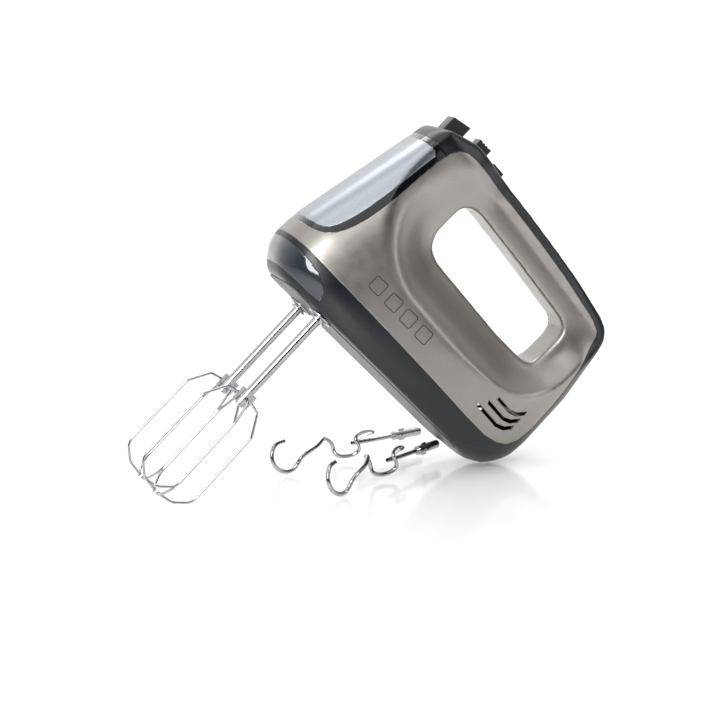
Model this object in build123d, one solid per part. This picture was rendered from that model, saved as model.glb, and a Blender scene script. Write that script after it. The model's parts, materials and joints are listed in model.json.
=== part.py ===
"""Hand mixer with two wire beaters and two loose dough hooks, in millimetres.

The mixer is drawn in a working frame: x runs from the beaters back to the heel,
y to the mixer's right, z up from its underside.  It is then leaned forward about
its heel, as it stands when it rests on both beater cages, and set on the floor
with its origin under the middle of its bounding box.
"""
import os
from math import atan2, cos, degrees, hypot, pi, radians, sin, tan

from build123d import *

# ---------------------------------------------------------------- body form
NOSE_X = -48.6          # foremost point of the body
HEEL_X = 160.5          # rearmost point of the body
BODY_HALF = 43.5        # half width of the body at its widest
HANDLE_HALF = 14.5      # half width of the handle
BODY_TOP = 150.0        # height that every section reaches past
WIDEST_X = 40.0         # where the body is widest
WALL = 2.3              # wall of the housing
LEAN = 12.9             # how far the front plate leans back, degrees

# ---------------------------------------------------------------- drive train
BEATER_SPACING = 45.0   # between the two beater axes
SHAFT_R = 2.95          # beater shaft
FIT = 0.05              # running fit on a radius
GAP = 0.35              # clearance between parts that move apart
SPINDLE_R = 5.9         # outside of the hollow spindle
WHEEL_TEETH = 28
WORM_STARTS = 2
WHEEL_PITCH_R = 14.9
TOOTH_REACH = 0.72      # addendum as a share of the module
TOOTH_SHARE = 0.38      # tooth thickness as a share of the pitch
MOTOR_Z = 37.0          # height of the armature axis
WHEEL_FACE = 9.0        # width of a worm wheel's rim
FRAME_Z = 9.0           # underside of the gearbox frame
FRAME_T = 4.0
COVER_Z = 52.0          # underside of the gearbox cover
COVER_T = 3.0
BUSH_T = 6.0
BUSH_WALL = 2.2

# ---------------------------------------------------------------- motor
ARBOR_R = 3.0
BEARING_R = 8.0
BEARING_T = 5.0
STATOR_X = 46.0
STATOR_L = 28.0
STATOR_HALF = 21.0
ARMATURE_R = 13.2
AIR_GAP = 0.8
FAN_R = 18.5
COMMUTATOR_R = 8.0
COMMUTATOR_L = 9.0
BRUSH_W = 4.5

# ---------------------------------------------------------------- beaters
INSERTION = 34.0        # length of the shaft inside its socket
FLANGE_Z = -2.8
FLANGE_R = 5.2
HUB_Z = -67.0
HUB_HALF = 5.6
HUB_HEIGHT = 9.6
CAGE_R = 20.7           # centre line of a wire from the beater's axis
CAGE_SHOULDER_R = 12.9
CAGE_SHOULDER_Z = -68.6
CAGE_TOP_Z = -82.0
CAGE_FOOT_Z = -144.3
WIRE_R = 0.85

# ---------------------------------------------------------------- controls
EJECT_X = -13.2
EJECT_L = 12.8
EJECT_HALF = 6.2
SLIDER_X = 8.0
SLIDER_L = 10.0
SLIDER_HALF = 5.0
SLIDER_TRAVEL = 8.0
TURBO_X = 24.8
TURBO_L = 9.2
TURBO_HALF = 5.0
ROD_R = 1.9

# ---------------------------------------------------------------- dough hooks
HOOK_WIRE_R = 1.4
HOOK_SHANK_R = 2.9
HOOK_SHANK_L = 36.0

HALF_SPACING = BEATER_SPACING / 2
SIDES = {"left": -1, "right": 1}


# ================================================================ helpers
def smooth(t):
    """Ease from 0 to 1 while t goes from 0 to 1."""
    t = min(1.0, max(0.0, t))
    return t * t * (3 - 2 * t)


def along(axis_point, direction, radius, length):
    """A solid cylinder from a point along a direction."""
    plane = Plane(origin=axis_point, z_dir=direction)
    return Solid.make_cylinder(radius, length, plane)


def tube(axis_point, direction, outer, inner, length):
    """A hollow cylinder from a point along a direction."""
    return along(axis_point, direction, outer, length) - along(axis_point, direction, inner, length)


def block(x, y, z):
    """A box between two limits on each axis."""
    size = Solid.make_box(x[1] - x[0], y[1] - y[0], z[1] - z[0])
    return size.moved(Location((x[0], y[0], z[0])))


def side_prism(points, half=60.0, low=None):
    """An outline in x and z, carried across the body in y."""
    wire = Wire.make_polygon([Vector(x, -half if low is None else low, z) for x, z in points])
    depth = 2 * half if low is None else half - low
    return Solid.extrude(Face(wire), Vector(0, depth, 0))


def rounded(x, y, z, radius):
    """A block whose upright corners are rounded."""
    return fillet(block(x, y, z).edges().filter_by(Axis.Z), radius)


def solids_of(shape):
    """The separate solids of a result, largest first."""
    return sorted(shape.solids(), key=lambda s: -s.volume)


# ================================================================ body form
def nose_at(z):
    """Foremost x of the body at a height."""
    return curve_at(z, ((0, 13.0), (6, 6.5), (13, 1.8), (21, 0.0), (38, 1.1), (150, 1.1 + 112 * tan(radians(LEAN)))),
                    NOSE_X, 1)


def heel_at(z):
    """Rearmost x of the body at a height."""
    return curve_at(z, ((0, 24.0), (6, 12.5), (13, 6.5), (21, 2.2), (30, 0.3), (72, 0.3), (115, 6.0), (150, 12.0)),
                    HEEL_X, -1)


def curve_at(z, steps, start, sign):
    """Straight runs between steps of (height, inset from the start)."""
    for (z0, a), (z1, b) in zip(steps, steps[1:]):
        if z <= z1:
            return start + sign * (a + (b - a) * (z - z0) / (z1 - z0))
    return start + sign * steps[-1][1]


def plan_half(x, nose, heel, half):
    """Half width of a level section: a blunt superellipse at each end."""
    if x < WIDEST_X:
        share = (WIDEST_X - x) / (WIDEST_X - nose)
        return half * max(0.0, 1 - share ** 2.2) ** 0.307
    share = (x - WIDEST_X) / (heel - WIDEST_X)
    return half * max(0.0, 1 - share ** 2.6) ** 0.385


def level_section(z, inset, over):
    """The outline of the body's left half at one height, closed a little past the middle plane."""
    nose = nose_at(z) + inset
    heel = heel_at(z) - inset
    half = (BODY_HALF - inset) * (0.84 + 0.16 * smooth(0.25 + z / 20))
    middle = (nose + heel) / 2
    reach = (heel - nose) / 2
    near = [Vector(nose, 0, z)]
    for i in range(1, 26):
        x = middle - reach * cos(pi * i / 26)
        near.append(Vector(x, -plan_half(x, nose, heel, half), z))
    near.append(Vector(heel, 0, z))
    curve = Edge.make_spline(near, tangents=[(0, -1, 0), (0, 1, 0)])
    past = [near[-1], Vector(heel, over, z), Vector(nose, over, z), near[0]]
    lines = [Edge.make_line(p, q) for p, q in zip(past, past[1:]) if (p - q).length > 0]
    return Wire([curve] + lines)


def envelope(inset, floor, over):
    """The left half of the body without its dish: level sections joined by straight walls."""
    heights = [floor, 6, 13, 21, 38, 72, 115, BODY_TOP]
    return Solid.make_loft([level_section(z, inset, over) for z in heights], ruled=True)


HAND_AXIS = ((37.0, 93.5), (110.0, 88.5))       # spine of the hand opening


def dish_half(x, z):
    """Half width of the body's side surface: wide below, narrow round the hand opening."""
    (ax, az), (bx, bz) = HAND_AXIS
    t = ((x - ax) * (bx - ax) + (z - az) * (bz - az)) / ((bx - ax) ** 2 + (bz - az) ** 2)
    t = min(1.0, max(0.0, t))
    away = hypot(x - ax - t * (bx - ax), z - az - t * (bz - az))
    opened = smooth((away - 15.5) / 36)
    raised = 1 - 0.62 * smooth((z - 30) / 95)
    over = smooth((x - 5) / 35) * smooth((z - 88) / 26)
    width = HANDLE_HALF + (BODY_HALF - HANDLE_HALF) * opened * raised * (1 - over)
    top = 145.5 - 0.115 * (x + 5)
    edge = smooth((z - top + 17) / 17)
    return width - 4.5 * edge


def side_half(x, z):
    """Half width of the finished body at a place on its side."""
    nose, heel = nose_at(z), heel_at(z)
    return min(dish_half(x, z), plan_half(x, nose, heel, BODY_HALF))


def under_dish(inset):
    """Everything on the inner side of the left side surface."""
    columns = [NOSE_X - 12 + 233 * i / 34 for i in range(35)]
    rows = [-6 + 162 * j / 28 for j in range(29)]
    grid = [[Vector(x, inset - dish_half(x, z), z) for z in rows] for x in columns]
    face = Face.make_surface_from_array_of_points(grid, tol=0.1, min_deg=3, max_deg=3)
    return Solid.extrude(face, Vector(0, 1.5 * BODY_HALF, 0))


TOP_LINE = [(-24.5, 134.0), (-19.5, 137.5), (0.0, 143.6), (30, 141.9), (60, 139.0), (90, 135.3), (113.4, 131.9),
            (140.0, 126.3), (147.5, 123.3), (152.0, 117.5), (154.0, 110), (161.0, 72)]


def outline_prism(points, inset):
    """An outline in x and z, moved inward by an inset (outward if negative), across the whole body."""
    wire = Wire.make_polygon([Vector(x, -60, z) for x, z in points])
    if inset:
        grown = wire.offset_2d(inset, kind=Kind.INTERSECTION)
        if (grown.bounding_box().size.X > wire.bounding_box().size.X) != (inset < 0):
            grown = wire.offset_2d(-inset, kind=Kind.INTERSECTION)
        wire = grown
    return Solid.extrude(Face(wire), Vector(0, 120, 0))


def hand_opening(grow):
    """The hole for the hand, enlarged by a wall."""
    points = [(22.0, 109.5), (26.5, 113.2), (33, 115.0), (75, 110.7), (119, 105.3), (124.2, 102.5), (126.3, 96.0),
              (125.2, 76.0), (123.2, 72.2), (119.0, 70.6), (94.0, 70.6), (34, 75.6), (25.5, 79.5), (21.3, 88.0)]
    return outline_prism(points, -grow)


def mass(inset, floor, over):
    """The left half of the body, or with an inset its hollow."""
    ends = [(HEEL_X + 1, -8), (NOSE_X - 9, -8), (NOSE_X - 9, 40), (-33.0, 117)]
    body = envelope(inset, floor, over) & outline_prism(TOP_LINE + ends, inset)
    body = solids_of(body)[0] & under_dish(inset)
    return solids_of(solids_of(body)[0] - hand_opening(inset))[0]


# ================================================================ how the skin is divided
BASE_EDGE = [(-37, 23.5), (-12, 22), (60, 19.6), (108, 17.9), (126.4, 18.1), (137, 20.5), (144.3, 24.4), (149, 32),
             (151.3, 42.6)]
BACK_EDGE = [(151.0, 60), (149.8, 74.1), (144.6, 113.9), (142.8, 117), (137, 119.8), (131.7, 121.2), (105, 126.3),
             (75, 130.4), (46.6, 133.4), (36, 134.0)]
CREST = [(20, 134.8), (5, 135.0), (-2, 134.3), (-7.5, 131.5), (-11.0, 126)]
FRONT_EDGE = [(-13.2, 117), (-17.9, 90.5), (-21.6, 70.0), (-23.6, 61.0), (-25.9, 53.5), (-28.6, 47.0), (-31.6, 41.9),
              (-35.2, 38.0), (-39.2, 35.6), (-44, 34)]
FAR = 90.0


def side_region():
    """Where the metallic side shells are, seen from the side."""
    front = [(-FAR, 33.3), (-FAR, 23.5)]
    return side_prism(BASE_EDGE + BACK_EDGE + CREST + FRONT_EDGE + front)


def base_region():
    """Everything under the parting line."""
    return side_prism(BASE_EDGE + [(HEEL_X + 20, 42.6), (HEEL_X + 20, -9), (-FAR, -9), (-FAR, 23.5)])


def spine_region():
    """The strip over the handle and down the back."""
    return side_prism(BASE_EDGE[-1:] + BACK_EDGE + [(36, 170), (HEEL_X + 20, 170), (HEEL_X + 20, 42.6)])


def crown_region():
    """The dark crown that carries the controls."""
    return side_prism(BACK_EDGE[-1:] + CREST + [(-11.6, 124.0), (-FAR, 127.5), (-FAR, 170), (36, 170)])


def plate_region():
    """The bright plate on the front of the body."""
    return side_prism([(-FAR, 37.6), (-45, 37.9), (-41.5, 38.4), (-38.6, 39.9), (-36.1, 42.4), (-33.8, 46.2),
                       (-31.6, 51.5), (-29.5, 58.0), (-27.3, 66.5), (-22.6, 90.5), (-17.0, 118.2), (-19.5, 120.5),
                       (-FAR, 123)])


def bezel_region():
    """The dark band between the plate and the side shells."""
    band = side_prism(CREST[-1:] + FRONT_EDGE + [(-FAR, 33.3), (-FAR, 127.5), (-11.6, 124.0)])
    return band - plate_region()


def nose_region():
    """The glossy insert that wraps round the nose."""
    return side_prism([(-FAR, 20.0), (-37, 19.6), (-22, 17.0), (-13, 10.5), (-10.5, 5.2), (-18, 4.6), (-FAR, 6.6)])


VENT_PITCH = 5.9
VENT_WIDTH = 2.2


def vent(row):
    """One air slot: along the base line, then curving up at its rear end."""
    x, z = 99.0 + 3.9 * row, 27.2 + VENT_PITCH * row
    low = [(x + 8, z - 0.4), (127.5, z - 1.0), (134.0, z + 1.0), (138.5, z + 5.6)]
    high = [(138.0, z + 8.6), (132.6, z + 3.4), (127.0, z - 1.0 + VENT_WIDTH), (x + 8, z - 0.4 + VENT_WIDTH)]
    return side_prism(low + high)


# ================================================================ housing
SCREW_PLACES = ((139.0, 96.0), (141.5, 44.0), (11.0, 104.0), (92.0, 120.5))
BOSS_R = 3.6
SCREW_R = 1.25
SCREW_HEAD_R = 2.7
SCREW_HEAD_T = 2.0


def mirrored(shape):
    """The same shape on the right side."""
    return shape.mirror(Plane.XZ)


def both_sides(half):
    """One solid from a left half and its mirror image."""
    return solids_of(half + mirrored(half))[0]


def side_shell(half, name):
    """A side shell with its screw bosses: pilot holes on the left, through holes on the right."""
    shell = half
    for x, z in SCREW_PLACES:
        reach = side_half(x, z) - WALL / 2
        shell = shell + along((x, 0, z), (0, -1, 0), BOSS_R, reach)
        depth = reach - WALL if name == "left" else 60
        shell = shell - along((x, 0, z), (0, -1, 0), SCREW_R + FIT, depth)
        if name == "right":
            seat = side_half(x, z) - SCREW_HEAD_T - 1
            shell = shell - along((x, -seat, z), (0, -1, 0), SCREW_HEAD_R + GAP, 40)
    for row in range(3):
        shell = shell - vent(row)
    shell = solids_of(shell)[0]
    return mirrored(shell) if name == "right" else shell


def housing():
    """The outer skin, cut into the pieces that clip together, with screw bosses inside."""
    hollow = mass(WALL, WALL, 1.0)
    whole = mass(0, 0, 0)

    def skin(region):
        """The part of the left outer skin inside a region, as one solid."""
        return solids_of(solids_of(whole & region)[0] - hollow)[0]

    pieces = {}
    side = skin(side_region())
    for name in SIDES:
        pieces[name + "_shell"] = side_shell(side, name)
    base = skin(base_region())
    pieces["nose_cap"] = both_sides(solids_of(base & nose_region())[0])
    cover = rounded((-30, 124), (-27, 27), (-1, 1.0), 12.0)
    pieces["underside_cover"] = both_sides(solids_of(base & cover)[0])
    pieces["base_shell"] = both_sides(solids_of(solids_of(base - nose_region())[0] - cover)[0])
    pieces["spine_strip"] = both_sides(skin(spine_region()))
    pieces["control_crown"] = both_sides(skin(crown_region()))
    pieces["front_plate"] = both_sides(skin(plate_region()))
    pieces["plate_bezel"] = both_sides(skin(bezel_region()))
    return pieces, hollow


def housing_screws():
    """Four screws from the right shell into the bosses of the left one."""
    screws = []
    for x, z in SCREW_PLACES:
        seat = side_half(x, z) - SCREW_HEAD_T - 1
        shank = along((x, seat, z), (0, -1, 0), SCREW_R, seat + 8)
        head = along((x, seat, z), (0, 1, 0), SCREW_HEAD_R, SCREW_HEAD_T)
        head = head - block((x - 2, x + 2), (seat + 1, seat + 3), (z - 0.4, z + 0.4))
        head = head - block((x - 0.4, x + 0.4), (seat + 1, seat + 3), (z - 2, z + 2))
        screws.append(shank + head)
    return Compound(screws)


# ================================================================ drive train
MODULE = 2 * WHEEL_PITCH_R / WHEEL_TEETH
PITCH = pi * MODULE
WORM_PITCH_R = HALF_SPACING - WHEEL_PITCH_R
LEAD = WORM_STARTS * PITCH
LEAD_ANGLE = atan2(LEAD, 2 * pi * WORM_PITCH_R)
REACH = TOOTH_REACH * MODULE
SPINDLE_BOTTOM = 3.0
SPINDLE_TOP = COVER_Z + COVER_T + 2.5
WORM_HALF = 13.0
COVER_POSTS = ((-25.0, 12.0), (-25.0, -12.0), (18.6, 28.6), (18.6, -28.6))


def wheel_section(z):
    """Cross section of a worm wheel's rim, with a tooth space facing the worm."""
    root = WHEEL_PITCH_R - REACH - 0.25
    tip = WHEEL_PITCH_R + REACH
    half_tip = (TOOTH_SHARE * PITCH / 2 - REACH * tan(radians(18))) / tip
    half_root = (TOOTH_SHARE * PITCH / 2 + REACH * tan(radians(18))) / root
    points = []
    for tooth in range(WHEEL_TEETH):
        middle = -pi / 2 + (tooth + 0.5) * 2 * pi / WHEEL_TEETH
        for radius, angle in ((root, -half_root), (tip, -half_tip), (tip, half_tip), (root, half_root)):
            points.append(Vector(radius * cos(middle + angle), radius * sin(middle + angle), z))
    return Face(Wire.make_polygon(points))


def worm_wheel(side):
    """A worm wheel moulded on a steel spindle, whose bore takes a beater shaft."""
    low = MOTOR_Z - WHEEL_FACE / 2
    twist = degrees(WHEEL_FACE * tan(LEAD_ANGLE) / WHEEL_PITCH_R)
    rim = Solid.extrude_linear_with_rotation(wheel_section(low), (0, 0, low), (0, 0, WHEEL_FACE), twist)
    rim = rim.rotate(Axis.Z, -twist / 2 + (0 if side > 0 else 180))
    for hole in range(6):
        spot = Vector(9.6, 0, low - 1).rotate(Axis.Z, 60 * hole)
        rim = rim - along(spot, (0, 0, 1), 1.8, WHEEL_FACE + 2)
    rim = rim - tube((0, 0, low - 1), (0, 0, 1), 12.4, 7.6, 3)
    sleeve = along((0, 0, SPINDLE_BOTTOM), (0, 0, 1), SPINDLE_R, SPINDLE_TOP - SPINDLE_BOTTOM)
    wheel = rim + sleeve - along((0, 0, 0), (0, 0, 1), SHAFT_R + FIT, 80)
    return solids_of(wheel)[0].moved(Location((0, side * HALF_SPACING, 0)))


def worm():
    """A two-start worm, its threads centred on the wheels' tooth spaces."""
    root = WORM_PITCH_R - REACH - 0.25
    tip = WORM_PITCH_R + REACH
    half_tip = (TOOTH_SHARE * PITCH / 2 - REACH * tan(radians(18))) / LEAD * 2 * pi
    half_root = (TOOTH_SHARE * PITCH / 2 + REACH * tan(radians(18))) / LEAD * 2 * pi
    points = []
    for start in range(WORM_STARTS):
        middle = start * 2 * pi / WORM_STARTS
        rest = 2 * pi / WORM_STARTS - 2 * half_root
        for step in range(4):
            angle = middle - half_tip + step * 2 * half_tip / 3
            points.append(Vector(0, tip * cos(angle), tip * sin(angle)))
        for step in range(5):
            angle = middle + half_root + step * rest / 4
            points.append(Vector(0, root * cos(angle), root * sin(angle)))
    turns = 2 * WORM_HALF / LEAD
    quarters = int(4 * turns) + 1
    length = 2 * WORM_HALF / quarters
    pieces = []
    for k in range(quarters):
        start = -WORM_HALF + k * length
        section = Face(Wire.make_polygon(points)).rotate(Axis.X, degrees(2 * pi * start / LEAD))
        section = section.moved(Location((start, 0, 0)))
        pieces.append(Solid.extrude_linear_with_rotation(section, (start, 0, 0), (length, 0, 0),
                                                         degrees(2 * pi * length / LEAD)))
    body = pieces[0].fuse(*pieces[1:])
    return solids_of(body)[0].moved(Location((0, 0, MOTOR_Z)))


FRONT_WALL = (-22.5, -18.5)
BEARING_WALL = (18.0, 24.0)
BRACKET_X = (91.0, 97.5)
ARBOR_END = 99.0
CHASSIS_END = 106.0
CHASSIS_TOP = FRAME_Z + FRAME_T


def armature_shaft():
    """The motor's arbor with the worm cut at its front end."""
    arbor = along((FRONT_WALL[0], 0, MOTOR_Z), (1, 0, 0), ARBOR_R, ARBOR_END - FRONT_WALL[0])
    return solids_of(arbor + worm())[0]


def bush_places():
    """Lower and upper seats of the two spindles."""
    return [(side * HALF_SPACING, z) for side in SIDES.values() for z in (CHASSIS_TOP - BUSH_T + 1.2, COVER_Z - 1.5)]


def spindle_bushes():
    """Four plain bushes, two to a spindle."""
    rings = [tube((0, y, z), (0, 0, 1), SPINDLE_R + FIT + BUSH_WALL, SPINDLE_R + FIT, BUSH_T)
             for y, z in bush_places()]
    return Compound(rings)


def gearbox_frame():
    """The chassis: floor plate, bearing walls, motor cradle and posts for the cover."""
    frame = rounded((-30, CHASSIS_END), (-23, 23), (FRAME_Z, CHASSIS_TOP), 8)
    frame = frame + rounded((-9, 26), (-34.0, 34.0), (FRAME_Z, CHASSIS_TOP), 5)
    frame = frame + block(FRONT_WALL, (-8, 8), (CHASSIS_TOP, MOTOR_Z + 8))
    frame = frame + block(BEARING_WALL, (-15, 15), (CHASSIS_TOP, MOTOR_Z + 12))
    cradle = MOTOR_Z - STATOR_HALF
    for x in (STATOR_X + 2, STATOR_X + STATOR_L - 6):
        frame = frame + block((x, x + 4), (-STATOR_HALF + 2, STATOR_HALF - 2), (CHASSIS_TOP, cradle))
    for x, y in COVER_POSTS:
        frame = frame + along((x, y, CHASSIS_TOP), (0, 0, 1), 2.6, COVER_Z - CHASSIS_TOP)
    for y in (-HALF_SPACING, HALF_SPACING):
        frame = frame - along((0, y, 0), (0, 0, 1), SPINDLE_R + FIT + BUSH_WALL, 30)
    frame = frame - along((BEARING_WALL[0] + 1, 0, MOTOR_Z), (1, 0, 0), BEARING_R, 20)
    frame = frame - along((-60, 0, MOTOR_Z), (1, 0, 0), ARBOR_R + FIT, 100)
    for x, y in COVER_POSTS:
        frame = frame - along((x, y, COVER_Z - 9), (0, 0, 1), 1.1, 12)
    return solids_of(frame)[0]


def gearbox_cover():
    """The upper plate that holds the spindles' top bushes."""
    cover = rounded((-28.5, 20.5), (-16, 16), (COVER_Z, COVER_Z + COVER_T), 4)
    cover = cover + rounded((-11, 22.0), (-32, 32), (COVER_Z, COVER_Z + COVER_T), 3)
    for y in (-HALF_SPACING, HALF_SPACING):
        cover = cover - along((0, y, COVER_Z - 1), (0, 0, 1), SPINDLE_R + FIT + BUSH_WALL, 9)
    for x, y in COVER_POSTS:
        cover = cover - along((x, y, COVER_Z - 1), (0, 0, 1), 1.3 + FIT, 9)
    return solids_of(cover)[0]


def gearbox_screws():
    """Screws that hold the cover on its posts."""
    return Compound([along((x, y, COVER_Z - 8), (0, 0, 1), 1.05, 8 + COVER_T)
                     + along((x, y, COVER_Z + COVER_T), (0, 0, 1), 2.2, 1.8) for x, y in COVER_POSTS])


# ================================================================ motor
def bearing(x):
    """A plain self-aligning bearing on the arbor."""
    ring = tube((x, 0, MOTOR_Z), (1, 0, 0), BEARING_R, ARBOR_R + FIT, BEARING_T)
    return solids_of(ring)[0]


COIL_IN, COIL_OUT = ARMATURE_R + 1.2, STATOR_HALF - 2.2      # across the body
COIL_LOW, COIL_HIGH = 5.0, 12.0                              # above and below the arbor


def stator_core():
    """Laminated yoke with two poles and windows for the coils."""
    x = (STATOR_X, STATOR_X + STATOR_L)
    yoke = block(x, (-STATOR_HALF, STATOR_HALF), (MOTOR_Z - STATOR_HALF, MOTOR_Z + STATOR_HALF))
    yoke = fillet(yoke.edges().filter_by(Axis.X), 6)
    yoke = yoke - along((0, 0, MOTOR_Z), (1, 0, 0), ARMATURE_R + AIR_GAP, 120)
    for side in SIDES.values():
        for up in (-1, 1):
            y = sorted((side * (COIL_IN - 0.2), side * (COIL_OUT + 0.2)))
            z = sorted((MOTOR_Z + up * (COIL_LOW - 0.2), MOTOR_Z + up * (COIL_HIGH + 0.2)))
            yoke = yoke - block((STATOR_X - 1, STATOR_X + STATOR_L + 1), y, z)
    return solids_of(yoke)[0]


def field_coils():
    """Two wound coils, one round each pole."""
    coils = []
    for up in (-1, 1):
        z = sorted((MOTOR_Z + up * COIL_LOW, MOTOR_Z + up * COIL_HIGH))
        x = (STATOR_X - 4.2, STATOR_X + STATOR_L + 4.2)
        ring = block(x, (-COIL_OUT, COIL_OUT), z)
        ring = ring - block((x[0] + 4, x[1] - 4), (-COIL_IN, COIL_IN), (z[0] - 1, z[1] + 1))
        coils.append(solids_of(ring)[0])
    return Compound(coils)


def armature_core():
    """Slotted rotor stack pressed on the arbor."""
    length = STATOR_L - 4
    core = tube((STATOR_X + 2, 0, MOTOR_Z), (1, 0, 0), ARMATURE_R, ARBOR_R, length)
    slot = block((STATOR_X + 1, STATOR_X + 3 + length), (-0.8, 0.8), (ARMATURE_R - 5, ARMATURE_R + 2))
    for k in range(12):
        core = core - slot.rotate(Axis.X, 30 * k).moved(Location((0, 0, MOTOR_Z)))
    return solids_of(core)[0]


COMMUTATOR_X = STATOR_X + STATOR_L + 5.5


def commutator():
    """Copper ring of bars for the brushes."""
    ring = tube((COMMUTATOR_X, 0, MOTOR_Z), (1, 0, 0), COMMUTATOR_R, ARBOR_R, COMMUTATOR_L)
    slot = block((COMMUTATOR_X - 1, COMMUTATOR_X + 20), (-0.25, 0.25), (COMMUTATOR_R - 1.2, COMMUTATOR_R + 1))
    for k in range(12):
        ring = ring - slot.rotate(Axis.X, 30 * k + 15).moved(Location((0, 0, MOTOR_Z)))
    return solids_of(ring)[0]


FAN_X = 28.0


def cooling_fan():
    """Moulded fan: a disc, a hub and straight blades."""
    fan = tube((FAN_X, 0, MOTOR_Z), (1, 0, 0), FAN_R, ARBOR_R, 1.6)
    fan = fan + tube((FAN_X, 0, MOTOR_Z), (1, 0, 0), 6.0, ARBOR_R, 9)
    blade = block((FAN_X, FAN_X + 8.5), (-0.7, 0.7), (5.5, FAN_R - 0.2))
    for k in range(9):
        fan = fan + blade.rotate(Axis.X, 40 * k).moved(Location((0, 0, MOTOR_Z)))
    return solids_of(fan)[0]


BRUSH_X = COMMUTATOR_X + COMMUTATOR_L / 2
HOLDER_Y = (COMMUTATOR_R + 1.5, 23.0)


def brush_bracket():
    """Upright behind the motor with the rear bearing and an arm for each brush holder."""
    bracket = rounded(BRACKET_X, (-22, 22), (CHASSIS_TOP, MOTOR_Z + 12), 1.5)
    bracket = bracket - along((BRACKET_X[0] - 5, 0, MOTOR_Z), (1, 0, 0), BEARING_R, 5 + BEARING_T)
    bracket = bracket - along((0, 0, MOTOR_Z), (1, 0, 0), ARBOR_R + GAP, 200)
    for side in SIDES.values():
        y = sorted((side * 12.0, side * 21.0))
        bracket = bracket + block((BRUSH_X - 3.6, BRACKET_X[0]), y, (MOTOR_Z - 7, MOTOR_Z - BRUSH_W / 2 - 1))
    return solids_of(bracket)[0]


def brush_holders():
    """Two square tubes that guide the brushes."""
    holders = []
    half = BRUSH_W / 2
    for side in SIDES.values():
        y = sorted((side * HOLDER_Y[0], side * HOLDER_Y[1]))
        shell = block((BRUSH_X - half - 1, BRUSH_X + half + 1), y, (MOTOR_Z - half - 1, MOTOR_Z + half + 1))
        bore = sorted((side * (HOLDER_Y[0] - 1), side * (HOLDER_Y[1] - 1)))
        inner = block((BRUSH_X - half, BRUSH_X + half), bore, (MOTOR_Z - half, MOTOR_Z + half))
        holders.append(solids_of(shell - inner)[0])
    return Compound(holders)


def carbon_brushes():
    """Two carbon blocks that ride on the commutator."""
    brushes = []
    half = BRUSH_W / 2 - 0.1
    for side in SIDES.values():
        y = sorted((side * (COMMUTATOR_R + 0.1), side * (HOLDER_Y[1] - 7)))
        brush = block((BRUSH_X - half, BRUSH_X + half), y, (MOTOR_Z - half, MOTOR_Z + half))
        brushes.append(brush)
    return Compound(brushes)


def coil_spring(start, direction, radius, wire, length, turns):
    """A closed-end compression spring as a swept helix."""
    path = Wire([Edge.make_helix(length / turns, length, radius)])
    ring = Face(Wire.make_circle(wire, Plane(origin=path @ 0, z_dir=path % 0)))
    spring = Solid.sweep(ring, path)
    return spring.moved(Location(Plane(origin=start, z_dir=direction)))


def brush_springs():
    """The springs behind the brushes."""
    springs = []
    for side in SIDES.values():
        start = (BRUSH_X, side * (HOLDER_Y[1] - 6.6), MOTOR_Z)
        springs.append(coil_spring(start, (0, side, 0), 1.5, 0.25, 5.2, 4))
    return Compound(springs)


# ================================================================ controls
FORK_Z = SPINDLE_TOP + 9.5
FORK_T = 3.0
ROD_X = EJECT_X
ROD_TOP = 133.0
COLLAR_Z = 112.0
SPRING_LOW = 100.0
GUIDE_T = 2.0


def slanted(x, half, top_z, slope, foot):
    """A block in the handle's top line, its top sloped along x."""
    rise = slope * (x[1] - x[0])
    points = [(x[0], foot), (x[1], foot), (x[1], top_z + rise), (x[0], top_z)]
    return side_prism(points, half)


def eject_button():
    """The large button at the front of the handle."""
    x = (EJECT_X - EJECT_L / 2, EJECT_X + EJECT_L / 2)
    button = slanted(x, EJECT_HALF, 146.9, 0.2, 134.5)
    skirt = block((EJECT_X - 3, EJECT_X + 3), (-4, 4), (ROD_TOP, 136))
    return solids_of(button + skirt)[0]


def eject_rod():
    """Push rod from the button down to the fork, with a collar for its spring."""
    rod = along((ROD_X, 0, FORK_Z + FORK_T), (0, 0, 1), ROD_R, ROD_TOP - FORK_Z - FORK_T)
    return solids_of(rod + along((ROD_X, 0, COLLAR_Z), (0, 0, 1), 4.2, 2))[0]


def ejector_fork():
    """Cross bar over the spindles with a pin above each beater shaft."""
    fork = block((-3.5, 3.5), (-HALF_SPACING - 3.5, HALF_SPACING + 3.5), (FORK_Z, FORK_Z + FORK_T))
    fork = fork + block((ROD_X - 4, 0), (-4, 4), (FORK_Z, FORK_Z + FORK_T))
    for y in (-HALF_SPACING, HALF_SPACING):
        fork = fork + along((0, y, SPINDLE_TOP - 4), (0, 0, 1), SHAFT_R - 0.5, FORK_Z - SPINDLE_TOP + 4.5)
    return solids_of(fork)[0]


def rod_guide(hollow):
    """A shelf inside the front of the body that guides the rod and carries its spring."""
    shelf = across(hollow, (-24, 4), (SPRING_LOW - GUIDE_T, SPRING_LOW))
    return shelf - along((ROD_X, 0, 0), (0, 0, 1), ROD_R + GAP, 140)


def eject_spring():
    """Return spring of the eject rod."""
    return coil_spring((ROD_X, 0, SPRING_LOW + 0.4), (0, 0, 1), 3.0, 0.4, COLLAR_Z - SPRING_LOW - 0.8, 6)


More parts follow.
